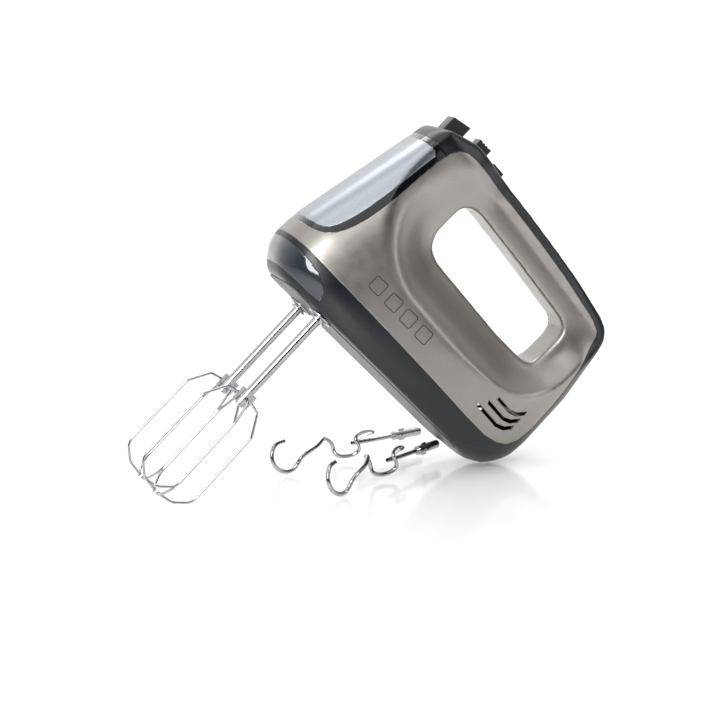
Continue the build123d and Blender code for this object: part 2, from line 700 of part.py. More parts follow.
def crown_openings():
    """Where the controls pass through the crown."""
    cut = block((EJECT_X - 3 - GAP, EJECT_X + 3 + GAP), (-4 - GAP, 4 + GAP), (120, 160))
    cut = cut + slanted((EJECT_X - EJECT_L / 2 - GAP, EJECT_X + EJECT_L / 2 + GAP), EJECT_HALF + GAP, 160, 0, 127.8)
    stem = (SLIDER_X - 2 - SLIDER_TRAVEL - GAP, SLIDER_X + 2 + GAP)
    cut = cut + block(stem, (-2.2 - GAP, 2.2 + GAP), (120, 160))
    cut = cut + block((TURBO_X - TURBO_L / 2 - GAP, TURBO_X + TURBO_L / 2 + GAP),
                      (-TURBO_HALF - GAP, TURBO_HALF + GAP), (120, 160))
    return cut


def handle_top(x):
    """Height of the handle's top line at a place along it."""
    for (x0, z0), (x1, z1) in zip(TOP_LINE, TOP_LINE[1:]):
        if x <= x1:
            return z0 + (z1 - z0) * (x - x0) / (x1 - x0)
    return TOP_LINE[-1][1]


def speed_slider():
    """Thumb slider for the speed, with a stem into its switch."""
    low = handle_top(SLIDER_X) + 1.0
    x = (SLIDER_X - SLIDER_L / 2, SLIDER_X + SLIDER_L / 2)
    thumb = slanted(x, SLIDER_HALF, low + 5.2, -0.03, low)
    for k in range(3):
        groove = x[0] + 2.6 + 2.4 * k
        thumb = thumb - block((groove - 0.4, groove + 0.4), (-9, 9), (low + 4.4, low + 9))
    stem = block((SLIDER_X - 2, SLIDER_X + 2), (-2.2, 2.2), (SWITCH_TOP - 1.5, low + 1))
    return solids_of(thumb + stem)[0]


SWITCH_TOP = 134.0
SWITCH_X = (-5.0, 16.5)


def across(hollow, x, z):
    """A shelf from one inner wall of the body to the other."""
    half = solids_of(block(x, (-60, 0), z) & hollow)[0]
    return both_sides(solids_of(half & block((-100, 200), (-60, 0), (-10, 170)))[0])


def speed_switch_block(hollow):
    """Stepped switch under the slider, held by a shelf between the walls."""
    body = block(SWITCH_X, (-8, 8), (119.5, SWITCH_TOP)) + across(hollow, (-3, 15), (121, 123))
    slot = block((SLIDER_X - 2 - SLIDER_TRAVEL - GAP, SLIDER_X + 2 + GAP), (-2.2 - GAP, 2.2 + GAP),
                 (SWITCH_TOP - 2, SWITCH_TOP + 1))
    return solids_of(body - slot)[0]


def turbo_button():
    """Push button behind the slider."""
    x = (TURBO_X - TURBO_L / 2, TURBO_X + TURBO_L / 2)
    top = handle_top(TURBO_X) + 2.8
    button = slanted(x, TURBO_HALF, top, -0.06, 138.0)
    return solids_of(button + along((TURBO_X, 0, 132.0), (0, 0, 1), 1.5, 7))[0]


def turbo_switch(hollow):
    """Micro switch under the turbo button, held by a shelf between the walls."""
    return solids_of(block((18.5, 31.5), (-5.5, 5.5), (119.5, 130.0)) + across(hollow, (21, 29), (121, 123)))[0]


def turbo_spring():
    """Return spring of the turbo button, round its plunger."""
    return coil_spring((TURBO_X, 0, 130.3), (0, 0, 1), 2.4, 0.3, 7.4, 4)


CORD_X, CORD_Z = 148.0, 22.0
CORD_DIR = (cos(radians(-38)), 0, sin(radians(-38)))
CORD_BORE_R = 3.4
CORD_GLAND_R = 6.4


def cord_inlet():
    """Gland that the mains lead would come out of, at the heel."""
    start = (CORD_X - 9 * CORD_DIR[0], 0, CORD_Z - 9 * CORD_DIR[2])
    gland = tube(start, CORD_DIR, CORD_GLAND_R, CORD_BORE_R, 13.0)
    return solids_of(gland)[0]


def cord_clamp():
    """Screwed bar that grips the lead inside the heel."""
    bar = block((118, 124), (-9, 9), (15, 18)) + along((121, 6, WALL), (0, 0, 1), 2.4, 13)
    return solids_of(bar + along((121, -6, WALL), (0, 0, 1), 2.4, 13))[0]


# ================================================================ beaters
def wire_path(side_angle):
    """The bent line of one cage wire in its own half plane."""
    points = [(HUB_HALF - 1.4, HUB_Z + 0.4), (CAGE_SHOULDER_R, CAGE_SHOULDER_Z), (CAGE_R, CAGE_TOP_Z),
              (CAGE_R + 0.4, CAGE_FOOT_Z + 9.5), (11.5, CAGE_FOOT_Z + 1.4), (1.8, CAGE_FOOT_Z)]
    radii = (3.0, 4.0, 9.0, 6.5)
    turned = [Vector(r, 0, z).rotate(Axis.Z, side_angle) for r, z in points]
    return FilletPolyline(*turned, radius=radii)


def beater_wires():
    """The four wires of one cage."""
    wires = []
    for k in range(4):
        path = wire_path(90 * k)
        ring = Face(Wire.make_circle(WIRE_R, Plane(origin=path @ 0, z_dir=path % 0)))
        wires.append(Solid.sweep(ring, path))
    return Compound(wires)


def beater_hub():
    """Stamped four-armed cross on the shaft."""
    hub = along((0, 0, HUB_Z - HUB_HEIGHT / 2), (0, 0, 1), SHAFT_R + 1.1, HUB_HEIGHT)
    for k in range(2):
        arm = block((-HUB_HALF, HUB_HALF), (-1.3, 1.3), (HUB_Z - HUB_HEIGHT / 2, HUB_Z + HUB_HEIGHT / 2))
        hub = hub + arm.rotate(Axis.Z, 90 * k)
    hub = hub - along((0, 0, HUB_Z - 10), (0, 0, 1), SHAFT_R, 20)
    return hub


def beater_shaft():
    """Shaft with its flange and the cap at the cage's foot."""
    shaft = along((0, 0, HUB_Z - HUB_HEIGHT / 2 - 1), (0, 0, 1), SHAFT_R, INSERTION + 2 - HUB_Z + HUB_HEIGHT / 2 + 1)
    shaft = chamfer(shaft.faces().sort_by(Axis.Z)[-1].edges(), 0.8)
    shaft = shaft + along((0, 0, FLANGE_Z - 0.6), (0, 0, 1), FLANGE_R, 1.1)
    return shaft + along((0, 0, FLANGE_Z + 0.5), (0, 0, 1), 4.1, 2.0)


def beater(side):
    """One beater's pieces, set on its axis."""
    wires = beater_wires()
    hub = beater_hub() - wires
    foot = solids_of(along((0, 0, CAGE_FOOT_Z - 1.2), (0, 0, 1), 2.6, 2.4) - wires)[0]
    place = Location((0, side * HALF_SPACING, 0))
    return {"shaft": solids_of(beater_shaft())[0].moved(place), "hub": solids_of(hub)[0].moved(place),
            "wires": wires.moved(place), "foot": foot.moved(place)}


# ================================================================ dough hooks
HOOK_CURL_R = 9.4
HOOK_CURL_U = -72.0
HOOK_COIL = ((-50.0, -4.0, 4.2), (-41.0, 0.0, 7.8), (-33.5, 5.5, 1.0), (-25.0, 0.0, -7.4), (-17.5, -5.5, 1.0),
             (-10.0, 0.0, 6.6), (-4.0, 1.0, 2.2))
HOOK_STEP = 14.0        # where the neck meets the thick shank
HOOK_PLACES = {"near": ((56.2, -0.3), 39.0), "far": ((52.7, 51.7), 21.0)}
HOOK_AXIS_Z = 9.4       # height of the hook's axis at its neck while it lies down
HOOK_DIP = 1.2          # how far the axis dips towards the shank, degrees


def hook_parts():
    """A dough hook along x: its curled wire and its shank with the pressed collar."""
    curl = [(HOOK_CURL_U + HOOK_CURL_R * cos(radians(a)), 4.5 - (a - 75) / 34, HOOK_CURL_R * sin(radians(a)))
            for a in range(75, 346, 45)]
    points = [Vector(u, v, w) for u, v, w in (*curl, *HOOK_COIL, (2.0, 0, 0))]
    path = Edge.make_spline(points, tangents=[points[1] - points[0], (1, 0, 0)])
    neck = Edge.make_line(points[-1], Vector(HOOK_STEP, 0, 0))
    ring = Face(Wire.make_circle(HOOK_WIRE_R, Plane(origin=path @ 0, z_dir=path % 0)))
    wire = Solid.sweep(ring, Wire([path, neck]))
    shank = along((HOOK_STEP, 0, 0), (1, 0, 0), HOOK_SHANK_R, HOOK_SHANK_L - HOOK_STEP)
    shank = chamfer(shank.faces().sort_by(Axis.X)[-1].edges(), 0.7)
    for k in range(2):
        wing = block((HOOK_STEP + 5, HOOK_STEP + 9), (-HOOK_SHANK_R - 1, HOOK_SHANK_R + 1), (-0.6, 0.6))
        shank = shank + wing.rotate(Axis.X, 90 * k)
    return solids_of(wire)[0], solids_of(shank)[0]


# ================================================================ set down on the floor
def lean_angle():
    """Angle at which both the cages' low corners and the heel touch one plane."""
    path = wire_path(0)
    cage = [path @ (i / 240) for i in range(241)]
    heel = [(heel_at(z), z) for z in (0, 6, 13, 21, 38)]
    low, high = 20.0, 80.0
    while high - low > 1e-7:
        angle = radians((low + high) / 2)
        foot = max(p.X * sin(angle) - p.Z * cos(angle) for p in cage) + WIRE_R
        rest = max(x * sin(angle) - z * cos(angle) for x, z in heel)
        if foot > rest:
            low = (low + high) / 2
        else:
            high = (low + high) / 2
    return low, foot


def base_fittings():
    """Posts, sockets and the gland's seat inside the base shell."""
    posts = Compound([along((x, y, WALL - 0.3), (0, 0, 1), 3.0, FRAME_Z - WALL + 0.3)
                      for x, y in ((-22, 12), (-22, -12), (40, 20), (40, -20), (98, 18), (98, -18))])
    return posts


def build():
    """Every node of the mixer in its working frame, and the hooks on the floor."""
    nodes, hollow = housing()
    base = nodes["base_shell"]
    for post in base_fittings().solids():
        base = base + post
    cover = nodes["underside_cover"]
    for side in SIDES.values():
        hole = along((0, side * HALF_SPACING, -3), (0, 0, 1), SPINDLE_R + 1.2, 8)
        base = base - hole
        cover = cover - hole
    start = (CORD_X - 9 * CORD_DIR[0], 0, CORD_Z - 9 * CORD_DIR[2])
    base = base - along(start, CORD_DIR, CORD_GLAND_R, 60)
    seat = tube(start, CORD_DIR, CORD_GLAND_R + WALL, CORD_GLAND_R, 7.0)
    web = block((start[0], start[0] + 5), (-1.5, 1.5), (WALL - 0.5, start[2] - 6))
    base = base + seat + (web - along(start, CORD_DIR, CORD_GLAND_R, 60))
    nodes["base_shell"] = solids_of(base)[0]
    nodes["underside_cover"] = solids_of(cover)[0]
    cut = crown_openings()
    nodes["control_crown"] = solids_of(nodes["control_crown"] - cut)[0]
    nodes["housing_screws"] = housing_screws()
    for maker in (armature_shaft, armature_core, commutator, cooling_fan, stator_core, field_coils, gearbox_frame,
                  gearbox_cover, gearbox_screws, spindle_bushes, brush_bracket, brush_holders, carbon_brushes,
                  brush_springs, eject_button, eject_rod, ejector_fork, eject_spring, speed_slider, turbo_button,
                  turbo_spring, cord_inlet, cord_clamp):
        nodes[maker.__name__] = maker()
    for maker in (rod_guide, speed_switch_block, turbo_switch):
        nodes[maker.__name__] = solids_of(maker(hollow))[0]
    nodes["front_bearing"] = bearing(BEARING_WALL[0] + 1)
    nodes["rear_bearing"] = bearing(BRACKET_X[0])
    for name, side in SIDES.items():
        nodes[name + "_worm_wheel"] = worm_wheel(side)
        for part, shape in beater(side).items():
            nodes[f"{name}_beater_{part}"] = shape
    return nodes


def main():
    """Lean the mixer, lay the hooks beside it, centre the whole and write one file for each node."""
    os.makedirs("parts", exist_ok=True)
    angle, height = lean_angle()
    nodes = {name: shape.rotate(Axis.Y, angle).moved(Location((0, 0, height))) for name, shape in build().items()}
    for name, ((x, y), heading) in HOOK_PLACES.items():
        wire, shank = hook_parts()
        place = Location((x, y, HOOK_AXIS_Z), (0, HOOK_DIP, heading))
        nodes[name + "_hook_wire"] = wire.moved(place)
        nodes[name + "_hook_shank"] = shank.moved(place)
    boxes = [shape.bounding_box() for shape in nodes.values()]
    low = [min(getattr(b.min, k) for b in boxes) for k in "XYZ"]
    high = [max(getattr(b.max, k) for b in boxes) for k in "XYZ"]
    shift = Location((-(low[0] + high[0]) / 2, -(low[1] + high[1]) / 2, -low[2]))
    for name, shape in nodes.items():
        export_step(shape.moved(shift), f"parts/{name}.step")
    print("lean", round(angle, 3), "pivot height", round(height, 3))
    print("shift", [round(v, 3) for v in shift.position])
    print("size", [round(h - l, 2) for l, h in zip(low, high)], "nodes", len(nodes))


if __name__ == "__main__":
    main()
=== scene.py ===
# %% [markdown]
# # A hand mixer with wire beaters and dough hooks
# The construction model is loaded as a fixed frame, in metres.  Every piece made
# here is placed from that frame, so nothing needs fitting by eye.
# %% Load the frame
import json
from math import cos, hypot, pi, radians, sin, tan

import bmesh
import bpy
from mathutils import Matrix, Vector


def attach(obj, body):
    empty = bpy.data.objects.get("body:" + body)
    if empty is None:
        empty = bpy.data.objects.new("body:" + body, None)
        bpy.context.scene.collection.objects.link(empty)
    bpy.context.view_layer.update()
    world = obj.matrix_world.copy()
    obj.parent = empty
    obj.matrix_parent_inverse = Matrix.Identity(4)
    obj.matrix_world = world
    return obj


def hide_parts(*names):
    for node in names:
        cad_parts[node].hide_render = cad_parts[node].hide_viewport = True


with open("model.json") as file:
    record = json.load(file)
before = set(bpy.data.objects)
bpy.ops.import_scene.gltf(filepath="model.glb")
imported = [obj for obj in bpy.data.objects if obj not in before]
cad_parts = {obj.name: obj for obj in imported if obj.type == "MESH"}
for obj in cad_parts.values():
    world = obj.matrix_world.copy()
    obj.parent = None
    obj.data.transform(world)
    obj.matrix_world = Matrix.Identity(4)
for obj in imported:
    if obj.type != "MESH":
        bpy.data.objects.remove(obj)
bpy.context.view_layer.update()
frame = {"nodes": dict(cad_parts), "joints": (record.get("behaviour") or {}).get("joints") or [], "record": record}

nodes = frame["nodes"]

# %% [markdown]
# The mixer is drawn leaning on its beaters.  It is easier to shape the housing
# upright, so a matrix is built from the joints: the motor's axis is the mixer's
# length, the eject button's stroke is its height, and its origin lies between
# the two spindles.
# %% The mixer's own upright frame, in millimetres
joints = {joint["name"]: joint for joint in frame["joints"]}
length_axis = Vector(joints["motor_spin"]["axis"]).normalized()
height_axis = -Vector(joints["eject_press"]["axis"]).normalized()
width_axis = height_axis.cross(length_axis)
left_foot = Vector(joints["left_spindle_spin"]["pos_m"])
right_foot = Vector(joints["right_spindle_spin"]["pos_m"])
middle = (left_foot + right_foot) / 2
upright = Matrix((length_axis, width_axis, height_axis)).transposed().to_4x4()
upright = Matrix.Translation(middle) @ upright @ Matrix.Scale(0.001, 4)
print("width axis", tuple(round(c, 3) for c in width_axis), "origin", tuple(round(c, 4) for c in middle))

# %% [markdown]
# The camera stands low and a little to the left of the beaters, with a long lens
# so that nothing looks stretched.
# The floor is glossy and nearly white, and large soft lights give the metal
# paint its broad highlights.
# %% Camera
def aimed(target, azimuth, elevation, roll, distance):
    """A matrix for a camera that looks at the target from a direction, in degrees."""
    a, e, r = radians(azimuth), radians(elevation), radians(roll)
    back = Vector((sin(a) * cos(e), -cos(a) * cos(e), sin(e)))
    side = Vector((cos(a), sin(a), 0))
    up = back.cross(side)
    right = cos(r) * side + sin(r) * up
    above = back.cross(right)
    turn = Matrix((right, above, back)).transposed().to_4x4()
    return Matrix.Translation(target + back * distance) @ turn


scene = bpy.context.scene
scene.view_settings.view_transform = "Standard"
eye = bpy.data.objects.new("studio_camera", bpy.data.cameras.new("studio_camera"))
scene.collection.objects.link(eye)
eye.data.lens = 120
eye.data.sensor_width = 36
eye.data.clip_end = 50
CAMERA_TARGET = middle + Vector((0.0312, 0, -0.0349))
CAMERA_AZIMUTH, CAMERA_ELEVATION, CAMERA_ROLL = -15.93, 10.81, -2.88
CAMERA_DISTANCE = 1.496
eye.matrix_world = aimed(CAMERA_TARGET, CAMERA_AZIMUTH, CAMERA_ELEVATION, CAMERA_ROLL, CAMERA_DISTANCE)
scene.camera = eye
print("camera at", tuple(round(c, 3) for c in eye.matrix_world.translation))

# %% [markdown]
# ## Helpers for finishes
# Real surfaces are never one flat colour: lacquer has flakes, moulded plastic has
# a grain from its tool, sheet metal keeps the marks of the brush.  All of them can
# be drawn with noise of the right size, so a few helpers set its size in
# millimetres and let it move a colour, a roughness or a shallow relief.  Object
# coordinates are used because they stay with the piece when it moves.
# %% Small helpers for materials
def linear(hex_colour):
    """A colour written as sRGB hex, turned into the linear values that Blender uses."""
    parts = [int(hex_colour[i:i + 2], 16) / 255 for i in (1, 3, 5)]
    return [c / 12.92 if c <= 0.04045 else ((c + 0.055) / 1.055) ** 2.4 for c in parts] + [1.0]


def add(tree, kind, settings=None, values=None, links=None):
    """Adds a node, gives it its settings and socket values, and links its inputs."""
    made = tree.nodes.new(kind)
    for key, value in (settings or {}).items():
        setattr(made, key, value)
    for key, value in (values or {}).items():
        made.inputs[key].default_value = value
    for key, source in (links or {}).items():
        tree.links.new(source, made.inputs[key])
    return made


def blank(name, values):
    """A material with one shader, whose constants are set on its own sockets."""
    material = bpy.data.materials.new(name)
    material.use_nodes = True
    tree = material.node_tree
    shader = tree.nodes["Principled BSDF"]
    for key, value in values.items():
        shader.inputs[key].default_value = value
    return material, tree, shader


def speckle(tree, size_mm, stretch=(1, 1, 1), detail=2.0):
    """Noise whose grains are about so many millimetres, drawn out along an axis by stretch."""
    place = add(tree, "ShaderNodeTexCoord")
    squeeze = add(tree, "ShaderNodeMapping", values={"Scale": stretch},
                  links={"Vector": place.outputs["Object"]})
    return add(tree, "ShaderNodeTexNoise", values={"Scale": 1000 / size_mm, "Detail": detail},
               links={"Vector": squeeze.outputs["Vector"]})


def vary(tree, shader, socket, noise, low, high):
    """Lets the noise move one value of the shader between two limits."""
    spread = add(tree, "ShaderNodeMapRange",
                 values={"From Min": 0.3, "From Max": 0.7, "To Min": low, "To Max": high},
                 links={"Value": noise.outputs["Fac"]})
    tree.links.new(spread.outputs["Result"], shader.inputs[socket])


def tint(tree, shader, noise, dark, light):
    """Lets the noise move the colour between two shades."""
    ramp = add(tree, "ShaderNodeValToRGB", links={"Fac": noise.outputs["Fac"]})
    ramp.color_ramp.elements[0].position = 0.3
    ramp.color_ramp.elements[0].color = linear(dark)
    ramp.color_ramp.elements[1].position = 0.7
    ramp.color_ramp.elements[1].color = linear(light)
    tree.links.new(ramp.outputs["Color"], shader.inputs["Base Color"])


def relief(tree, shader, noise, depth_mm, strength):
    """Turns the noise into a shallow relief of so many millimetres."""
    bump = add(tree, "ShaderNodeBump", values={"Strength": strength, "Distance": depth_mm / 1000},
               links={"Height": noise.outputs["Fac"]})
    tree.links.new(bump.outputs["Normal"], shader.inputs["Normal"])


print("a middle grey in linear light", [round(c, 3) for c in linear("#808080")])

# %% [markdown]
# ## The housing's finishes
# The side shells are moulded ABS with a champagne metallic lacquer: aluminium
# flakes in a clear binder.  Flakes are about 0.02 mm across, which no render
# would show, so they are drawn at 0.25 mm.  A thin clear coat gives the second,
# sharper highlight that tells paint from bare plastic.
# %% Lacquered ABS side shells
lacquer, tree, shader = blank("champagne_metallic_lacquer_on_ABS", {
    "Metallic": 0.9, "Roughness": 0.36, "Coat Weight": 0.3, "Coat Roughness": 0.16, "IOR": 1.5})
flakes = speckle(tree, 0.25)
tint(tree, shader, flakes, "#8b8783", "#a19d98")
clouds = speckle(tree, 9.0)
vary(tree, shader, "Roughness", clouds, 0.32, 0.40)
relief(tree, shader, flakes, 0.01, 0.25)
print(lacquer.name)

# %% [markdown]
# The crown, spine and base are ABS coloured in the mass, nearly black with a
# little blue.  The mould is finely spark-eroded, which leaves a grain of about
# 0.4 mm and a satin sheen.
# %% Moulded ABS and its glossy and grained versions
def moulded(name, dark, light, rough, grain_mm, depth_mm, coat=0.0):
    """ABS moulded in a tool whose surface has a grain of a given size and depth."""
    material, tree, shader = blank(name, {"IOR": 1.49, "Coat Weight": coat, "Coat Roughness": 0.05})
    clouds = speckle(tree, 14.0)
    tint(tree, shader, clouds, dark, light)
    vary(tree, shader, "Roughness", clouds, rough * 0.9, rough * 1.12)
    relief(tree, shader, speckle(tree, grain_mm), depth_mm, 0.5)
    return material


satin_abs = moulded("slate_satin_moulded_ABS", "#060b11", "#0b1219", 0.30, 0.45, 0.010)
cover_abs = moulded("grey_green_moulded_ABS", "#585d56", "#636861", 0.45, 0.5, 0.012)
button_abs = moulded("black_spark_eroded_ABS", "#101113", "#17191b", 0.52, 0.5, 0.03)
face_abs = moulded("grey_polished_ABS_button_face", "#4a4d50", "#565a5d", 0.30, 0.6, 0.006)
glass_abs = moulded("piano_black_polished_ABS", "#08090a", "#0c0d0f", 0.07, 1.5, 0.001, coat=0.8)
nose_abs = moulded("slate_high_gloss_ABS", "#2b3137", "#343a41", 0.10, 1.8, 0.001, coat=0.9)
inner_abs = moulded("natural_moulded_nylon", "#c9c4b4", "#d6d1c2", 0.50, 0.8, 0.012)
gear_pom = moulded("white_moulded_acetal", "#dcdad2", "#e8e6de", 0.35, 0.6, 0.006)
rubber = moulded("black_moulded_rubber", "#141414", "#1b1b1c", 0.72, 0.7, 0.03)
mark_ink = moulded("dark_grey_pad_printed_ink", "#1d1d1e", "#262627", 0.5, 0.4, 0.004)
print("moulded finishes from", satin_abs.name, "to", mark_ink.name)

# %% [markdown]
# ## Metals
# The front plate is aluminium sheet, brushed along its height and clear anodised:
# the brush leaves lines about 0.2 mm apart, drawn here at 0.3 mm and forty times
# as long.  The wires are spring steel, polished and chromed, so they are almost
# mirrors with faint drawing lines.
# %% Metals
def metal(name, dark, light, rough, grain_mm, depth_mm, stretch=(1, 1, 1), anisotropic=0.0):
    """A bare or plated metal with the marks of how it was made."""
    material, tree, shader = blank(name, {"Metallic": 1.0, "Anisotropic": anisotropic})
    grain = speckle(tree, grain_mm, stretch)
    tint(tree, shader, grain, dark, light)
    vary(tree, shader, "Roughness", grain, rough * 0.8, rough * 1.2)
    relief(tree, shader, grain, depth_mm, 0.3)
    return material


plate_finish = metal("brushed_anodised_aluminium", "#9a9fa6", "#b1b6bc", 0.33, 0.3, 0.004,
                     stretch=(1, 1, 0.03))
chrome = metal("chrome_plated_spring_steel", "#a4a7aa", "#bcbec1", 0.09, 2.0, 0.001)
steel = metal("ground_steel", "#a9acb0", "#bcbfc3", 0.25, 0.5, 0.003)
laminations = metal("stacked_silicon_steel_sheet", "#6f7174", "#888b8f", 0.42, 0.5, 0.02, (2, 0.02, 2))
copper = metal("enamelled_copper_wire", "#a24f24", "#c46a36", 0.28, 0.5, 0.05, (3, 0.1, 3))
bronze = metal("sintered_bronze", "#8c6a3a", "#a78048", 0.45, 0.4, 0.03)
carbon = moulded("pressed_carbon_graphite", "#202022", "#2a2a2d", 0.55, 0.3, 0.02)
print("metals from", plate_finish.name, "to", bronze.name)

# %% [markdown]
# ## One finish for each construction node
# The record names a material slot for every node, as a parts list would.  Going
# through the slots, and not through the nodes by hand, means that a new node
# can't be forgotten.
# %% Give every construction node its finish
finishes = {
    "side_paint": lacquer, "dark_plastic": satin_abs, "gloss_nose": nose_abs, "cover_plastic": cover_abs,
    "plate_metal": plate_finish, "gloss_black": glass_abs, "button_plastic": button_abs, "steel": steel,
    "laminations": laminations, "copper": copper, "bronze": bronze, "carbon": carbon,
    "inner_plastic": inner_abs, "gear_plastic": gear_pom, "rubber_gland": rubber, "beater_chrome": chrome}
slot_of = {part["node"]: part["material_slot"] for part in frame["record"]["subparts"]}
for name, thing in nodes.items():
    thing.data.materials.clear()
    thing.data.materials.append(finishes[slot_of[name]])
print("finished", len(nodes), "nodes with", len(set(slot_of.values())), "finishes")

# %% [markdown]
# ## The housing's outer form
# The real shells are injection mouldings with soft, flowing edges.  The
# construction model has the right walls, posts and cut-outs, but its edges are
# crisp.  So the whole outer form is made once as a smooth solid, and each
# construction shell is cut down to it: inside it keeps its posts, outside it
# takes the soft surface.
#
# The solid starts as a flat grid.  Each row of the grid is one level of the body
# and is rolled round into a closed ring, blunt at the nose and the heel, and
# held in at the sides by the dish round the hand opening.
# %% Sizes of the form, in millimetres
NOSE_X = -48.6
HEEL_X = 160.5
BODY_HALF = 43.5
HANDLE_HALF = 14.5
WIDEST_X = 40.0
LEAN = 12.9
NOSE_STEPS = ((-1, 14.1), (0, 13.0), (6, 6.5), (13, 1.8), (21, 0.0), (38, 1.1),
              (150, 1.1 + 112 * tan(radians(LEAN))))
HEEL_STEPS = ((-1, 26.0), (0, 24.0), (6, 12.5), (13, 6.5), (21, 2.2), (30, 0.3), (72, 0.3),
              (115, 6.0), (150, 12.0))
LEVELS = (0, 6, 13, 21, 38, 72, 115, 150)
HAND_AXIS = ((37.0, 93.5), (110.0, 88.5))       # spine of the hand opening
DISH_EDGE = 15.5        # from that spine to where the dish begins to slope
DISH_RUN = 36           # width of the slope


def ease(t):
    """Goes gently from 0 to 1 while t goes from 0 to 1."""
    t = min(1.0, max(0.0, t))
    return t * t * (3 - 2 * t)


def between(z, steps):
    """Straight runs between pairs of a height and a value."""
    for (low, a), (high, b) in zip(steps, steps[1:]):
        if z <= high:
            return a + (b - a) * (z - low) / (high - low)
    return steps[-1][1]


def plan_half(x, nose, heel, half):
    """Half width of one level, blunt at both ends."""
    if x < WIDEST_X:
        share = min(1.0, (WIDEST_X - x) / (WIDEST_X - nose))
        return half * max(0.0, 1 - share ** 2.2) ** 0.307
    share = min(1.0, (x - WIDEST_X) / (heel - WIDEST_X))
    return half * max(0.0, 1 - share ** 2.6) ** 0.385


def dish_half(x, z):
    """Half width of the side surface: wide low down, narrow round the hand opening."""
    (ax, az), (bx, bz) = HAND_AXIS
    along = ((x - ax) * (bx - ax) + (z - az) * (bz - az)) / ((bx - ax) ** 2 + (bz - az) ** 2)
    along = min(1.0, max(0.0, along))
    away = hypot(x - ax - along * (bx - ax), z - az - along * (bz - az))
    opened = ease((away - DISH_EDGE) / DISH_RUN)
    raised = 1 - 0.62 * ease((z - 30) / 95)
    over = ease((x - 5) / 35) * ease((z - 88) / 26)
    width = HANDLE_HALF + (BODY_HALF - HANDLE_HALF) * opened * raised * (1 - over)
    return width - 4.5 * ease((z - 128.5 + 0.115 * (x + 5)) / 17)


def level_point(turn, z):
    """A place on the body's outline at one level; turn goes from 0 to 1 round it."""
    nose = NOSE_X + between(z, NOSE_STEPS)
    heel = HEEL_X - between(z, HEEL_STEPS)
    x = (nose + heel) / 2 - (heel - nose) / 2 * cos(2 * pi * turn)
    levels = [(level, (0.84 + 0.16 * ease(0.25 + level / 20)) * BODY_HALF) for level in LEVELS]
    half = plan_half(x, nose, heel, between(z, levels))
    y = min(half, dish_half(x, z))
    return Vector((x, y if turn > 0.5 else -y, z))


print("half width of the side over the opening", round(dish_half(73, 91), 1),
      "and low down", round(dish_half(73, 10), 1))

# %% [markdown]
# Once the grid is rolled, its first and last columns lie on each other, so their
# points are merged.  The foot and the top are still open and get a face each.
# %% Roll the grid round
AROUND = 176
UP = 76
FORM_FOOT = 0.2         # lowest level of the form
FORM_RISE = 149.6       # from there to its highest
bm = bmesh.new()
bmesh.ops.create_grid(bm, x_segments=AROUND, y_segments=UP, size=0.5)
for vert in bm.verts:
    vert.co = level_point(vert.co.x + 0.5, FORM_FOOT + FORM_RISE * (vert.co.y + 0.5))
bmesh.ops.remove_doubles(bm, verts=bm.verts, dist=0.01)
bmesh.ops.holes_fill(bm, edges=[edge for edge in bm.edges if edge.is_boundary], sides=0)
bmesh.ops.recalc_face_normals(bm, faces=bm.faces)
print("rolled grid", len(bm.verts), "vertices, open edges", sum(edge.is_boundary for edge in bm.edges))


# %% [markdown]
# A few short helpers follow: one puts a mesh into the scene, one carries an
# outline across the body as a cutter, and two add and apply modifiers.  Cutters
# are deleted once they have done their work.
# %% Helpers: a mesh into an object, a prism and an applied modifier
def settle(bm, name, finish):
    """Turns a bmesh into an object in the scene."""
    mesh = bpy.data.meshes.new(name)
    bm.to_mesh(mesh)
    bm.free()
    made = bpy.data.objects.new(name, mesh)
    scene.collection.objects.link(made)
    if finish:
        mesh.materials.append(finish)
    return made


def prism(name, outline, low, high, finish=None):
    """An outline in length and height, carried across the body's width."""
    bm = bmesh.new()
    corners = [bm.verts.new((x, low, z)) for x, z in outline]
    face = bm.faces.new(corners)
    grown = bmesh.ops.extrude_face_region(bm, geom=[face])
    far = [item for item in grown["geom"] if isinstance(item, bmesh.types.BMVert)]
    bmesh.ops.translate(bm, verts=far, vec=(0, high - low, 0))
    bmesh.ops.recalc_face_normals(bm, faces=bm.faces)
    return settle(bm, name, finish)


def bake(thing):
    """Applies the modifiers of an object to its mesh."""
    bpy.context.view_layer.update()
    seen = thing.evaluated_get(bpy.context.evaluated_depsgraph_get())
    done = bpy.data.meshes.new_from_object(seen)
    thing.modifiers.clear()
    thing.data = done
    return thing


def modify(thing, kind, **settings):
    """Adds one modifier with its settings."""
    made = thing.modifiers.new(kind.lower(), kind)
    for key, value in settings.items():
        setattr(made, key, value)
    return made


def discard(*things):
    """Takes helper objects out of the scene."""
    for thing in things:
        bpy.data.objects.remove(thing)


# %% [markdown]
# The real mixer is open round its handle, and its top slopes down to the heel.
# Both are cut with prisms.  Every edge is then softened at once: a voxel remesh
# gives an even skin, and smoothing that skin rounds an edge by about the same
# radius all the way along, which a bevel on crossing curved edges would not.
# Last, the form is drawn in by a third of a millimetre, to lie just inside the
# construction's own skin.
# %% Cut the top and the hand opening, then soften every edge
TOP_OUTLINE = [(-24.5, 134.0), (-19.5, 137.5), (0.0, 143.6), (30, 141.9), (60, 139.0), (90, 135.3),
               (113.4, 131.9), (140.0, 126.3), (147.5, 123.3), (152.0, 117.5), (154.0, 110), (161.0, 72),
               (161.5, -8), (-57.6, -8), (-57.6, 40), (-33.0, 117)]
OPENING = [(22.0, 109.5), (26.5, 113.2), (33, 115.0), (75, 110.7), (119, 105.3), (124.2, 102.5),
           (126.3, 96.0), (125.2, 76.0), (123.2, 72.2), (119.0, 70.6), (94.0, 70.6), (34, 75.6),
           (25.5, 79.5), (21.3, 88.0)]
CUTTER_REACH = 60       # past both sides of the body
form = settle(bm, "outer_form", None)
